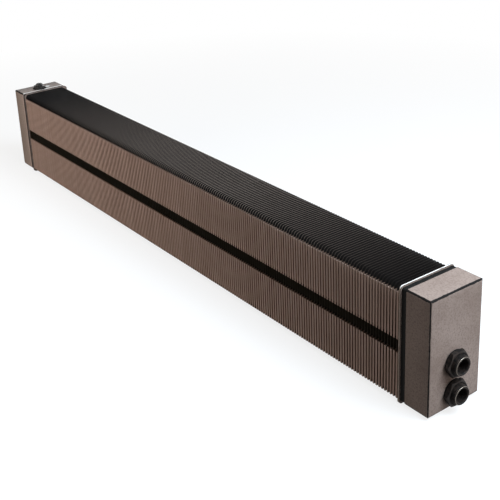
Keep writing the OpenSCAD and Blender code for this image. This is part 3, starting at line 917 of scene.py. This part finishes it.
def make_floor(size, bounce, glow):
    """A pale floor that shows white with the convector's soft shadow, and throws little light back."""
    data = bpy.data.meshes.new("floor")
    corners = [(-size, -size, 0), (size, -size, 0), (size, size, 0), (-size, size, 0)]
    data.from_pydata(corners, [], [(0, 1, 2, 3)])
    floor = bpy.data.objects.new("floor", data)
    bpy.context.scene.collection.objects.link(floor)
    material = bpy.data.materials.new("floor")
    tree = Tree(material)
    seen = tree.seen_directly()
    matt = tree.add("BsdfDiffuse", {"Color": tree.mix(seen, grey(bounce), grey(FLOOR_SHADE))})
    white = tree.add("Emission", {"Color": grey(1.0), "Strength": 1.0})
    spot = tree.add("TexCoord").outputs["Object"]
    distance = tree.add("VectorMath", {0: spot}, operation="LENGTH").outputs["Value"]
    share = tree.math("MULTIPLY", seen, tree.ramp(distance, GLOW_START, GLOW_END, glow, 1.0))
    both = tree.add("MixShader", {0: share, 1: matt.outputs[0], 2: white.outputs[0]})
    output = tree.add("OutputMaterial")
    tree.put(output.inputs["Surface"], both.outputs[0])
    data.materials.append(material)


def make_light(name, place, target, width, height, level, tint=NEUTRAL):
    """A soft box. Its level is how bright it is next to white."""
    data = bpy.data.lights.new(name, "AREA")
    data.shape = "RECTANGLE"
    data.size = width
    data.size_y = height
    data.energy = level * math.pi * width * height
    data.color = tint
    lamp = bpy.data.objects.new(name, data)
    bpy.context.scene.collection.objects.link(lamp)
    lamp.location = place
    lamp.rotation_mode = "QUATERNION"
    lamp.rotation_quaternion = (Vector(target) - Vector(place)).to_track_quat("-Z", "Y")
    lamp.visible_camera = False


def make_studio():
    bpy.context.scene.view_settings.view_transform = "Standard"
    make_world(AMBIENT)
    make_floor(size=8.0, bounce=0.05, glow=0.8)
    make_light("overhead", OVERHEAD_PLACE, OVERHEAD_TARGET, width=1.0, height=1.2, level=14.4, tint=COOL)
    make_light("right", RIGHT_PLACE, RIGHT_TARGET, width=1.2, height=1.2, level=2.0)
    make_light("front_left", FRONT_LEFT_PLACE, FRONT_LEFT_TARGET, width=0.6, height=0.5, level=5.2, tint=WARM)
    make_light("back", BACK_PLACE, BACK_TARGET, width=2.4, height=0.8, level=1.8)
    make_light("left", LEFT_PLACE, LEFT_TARGET, width=1.2, height=0.4, level=4.5)


def dress(nodes, material):
    """Gives CAD nodes that are shown as they are their finish."""
    for node in nodes:
        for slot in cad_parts[node].material_slots:
            slot.material = material


def make_fins():
    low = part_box("fin_bank_1")[0]
    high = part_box("fin_bank_4")[1]
    pitch = (high.x - low.x - TAB_WIDTH) / (FIN_COUNT - 1)
    paint = make_fin_paint(low.x - pitch / 4, pitch, low.y, high.y, high.z)
    dress([f"fin_bank_{number}" for number in range(1, 5)], paint)


def make_convector():
    rubber = make_rubber()
    black = make_metal("blacked_steel", BLACK, BLACK_WORN, roughness=0.55, metallic=0.0, specular=0.08)
    wear_and_highlight = make_metal("blacked_steel_edge", BLACK_WORN, BLACK, roughness=0.5, metallic=0.0, specular=0.12)
    bare_edge = make_metal("bare_edge", BARE_EDGE, BARE_DULL, roughness=0.35, metallic=0.8)
    vent_metal = make_metal("vent_metal", VENT, VENT_WORN, roughness=0.25, metallic=0.0, specular=0.3)
    zinc = make_metal("zinc", ZINC, ZINC_DULL, roughness=0.35, metallic=0.9)
    vent_x, vent_y = vent_axis()
    cap_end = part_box("left_cap")[1]
    light_spot = (vent_x + LIGHT_SPOT_OFFSET[0], vent_y + LIGHT_SPOT_OFFSET[1], cap_end.z)
    # The left cap gets painted shade, a painted highlight along its inner edge and a light spot on its top
    dress(["left_cap"], make_cap_paint("left_cap_paint", cap_end.x, light_spot))
    dress(["right_cap"], make_cap_paint("right_cap_paint"))
    # Painted light on the plates' rims: lit tones on the right plate, shaded tones on the left
    for side, top, edge in (("left", RIM_SHADE, TAB_DARK), ("right", RIM_TOP_HIGHLIGHT, RIM_SIDE_HIGHLIGHT)):
        node = side + "_end_plate"
        dress([node], make_plate_paint(node + "_paint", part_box(node)[0].x, top, edge))
    dress(
        ["tube_bottom", "tube_lower_middle", "tube_upper_middle", "tube_top"],
        make_metal("copper", COPPER, COPPER_DULL, roughness=0.45, metallic=0.9, scale=60.0),
    )
    headers = ["left_header", "right_header", "left_header_ends", "right_header_ends", "header_divider"]
    dress(
        headers + ["vent_socket"],
        make_metal("steel", STEEL, STEEL_DARK, roughness=0.5, metallic=0.7, scale=40.0),
    )
    make_fins()
    for name in ("lower", "upper"):
        make_stub(name, black, bare_edge)
        make_locknut(name, black, wear_and_highlight)
        make_washer(name, rubber)
    for side in ("left", "right"):
        make_strip(side, rubber)
        make_cap_screws(side, zinc)
        make_wall_fixings(side, zinc)
    make_grommet(rubber)
    make_gasket(rubber)
    make_vent_body(vent_metal)
    make_nozzle(vent_metal)
    make_bleed_screw(vent_metal)


make_camera()
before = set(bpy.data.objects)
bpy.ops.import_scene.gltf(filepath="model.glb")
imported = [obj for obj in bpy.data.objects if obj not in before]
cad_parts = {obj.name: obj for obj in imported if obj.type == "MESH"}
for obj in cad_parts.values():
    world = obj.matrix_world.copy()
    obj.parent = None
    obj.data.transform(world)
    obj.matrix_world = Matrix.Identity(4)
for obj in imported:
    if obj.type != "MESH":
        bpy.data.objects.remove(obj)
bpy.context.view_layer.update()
make_studio()
make_convector()
